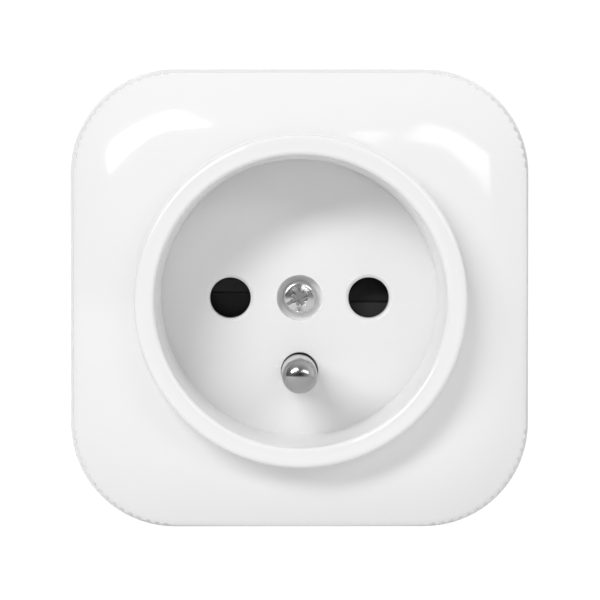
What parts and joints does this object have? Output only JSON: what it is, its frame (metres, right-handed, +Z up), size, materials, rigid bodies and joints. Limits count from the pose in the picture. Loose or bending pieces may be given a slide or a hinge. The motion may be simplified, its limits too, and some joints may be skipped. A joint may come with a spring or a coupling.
{
  "type": "plug in power meter",
  "caption": "Square plug-in metering adapter with crowned front, round collared earth-pin socket, shuttered pin holes and a round two-pin plug behind.",
  "frame": {"origin": "centre of the plug's end face, midway between the two plug pins", "axes": "+X right and +Z up as seen from the front, +Y into the wall along the plug pins"},
  "size_m": [0.0632, 0.0785, 0.0626],
  "materials": {
    "cover_white": "high gloss moulded",
    "socket_white": "satin moulded",
    "housing_white": "gloss moulded",
    "shutter_black": "satin moulded",
    "natural_plastic": "satin moulded, natural",
    "plated_screw": "zinc plated",
    "spring_steel": "drawn wire",
    "plated_pin": "nickel plated, polished",
    "contact_bronze": "rolled strip",
    "earth_brass": "rolled strip",
    "sheet_paper": "fibre paper",
    "board_green": "solder mask",
    "board_black": "solder mask",
    "relay_case": "satin moulded",
    "chip_epoxy": "moulded epoxy",
    "shunt_alloy": "rolled strip",
    "sleeve_blue": "shrink sleeve",
    "ferrite_grey": "sintered, wrapped",
    "film_yellow": "moulded box",
    "varistor_blue": "dipped epoxy",
    "fuse_brown": "moulded",
    "tinned_shield": "tinned sheet",
    "switch_black": "moulded",
    "plunger_tan": "moulded",
    "light_resin": "moulded resin",
    "clear_guide": "polished clear plastic"
  },
  "bodies": {
    "housing": {"front_cover": "cover_white", "socket_floor": "socket_white", "shutter_spring": "spring_steel", "centre_screw": "plated_screw", "socket_earth_pin": "plated_pin", "contact_carrier": "natural_plastic", "carrier_screws": "plated_screw", "live_contact": "contact_bronze", "neutral_contact": "contact_bronze", "insulating_sheet": "sheet_paper", "rear_housing": "housing_white", "plug_boss": "housing_white", "case_screws": "plated_screw", "live_plug_pin": "plated_pin", "neutral_plug_pin": "plated_pin", "pin_retainer": "natural_plastic", "retainer_screws": "plated_screw", "earth_bridge": "earth_brass", "earth_sleeve": "earth_brass", "main_board": "board_green", "board_screws": "plated_screw", "relay": "relay_case", "shunt": "shunt_alloy", "metering_chip": "chip_epoxy", "sense_resistors": "chip_epoxy", "supply_chip": "chip_epoxy", "bridge_rectifier": "chip_epoxy", "bulk_capacitors": "sleeve_blue", "filter_inductor": "ferrite_grey", "film_capacitor": "film_yellow", "varistor": "varistor_blue", "fuse": "fuse_brown", "radio_board": "board_black", "radio_shield": "tinned_shield", "switch_board": "board_green", "key_switch": "switch_black", "status_light": "light_resin", "light_guide": "clear_guide"},
    "shutter": {"pin_shutter": "shutter_black"},
    "button": {"push_button": "housing_white", "switch_plunger": "plunger_tan"}
  },
  "joints": [
    {"name": "shutter_turn", "type": "hinge", "parent": "housing", "child": "shutter", "pos_m": [0, -0.0399, 0], "axis": [0, 1, 0], "range_deg": [0, 40], "stiffness_Nm_per_rad": 0.003, "springref_deg": -17.19, "deforming": ["shutter_spring"]},
    {"name": "button_press", "type": "slide", "parent": "housing", "child": "button", "axis": [-1, 0, 0], "range_m": [0, 0.0004], "stiffness_N_per_m": 2000, "springref_m": -0.0004}
  ]
}
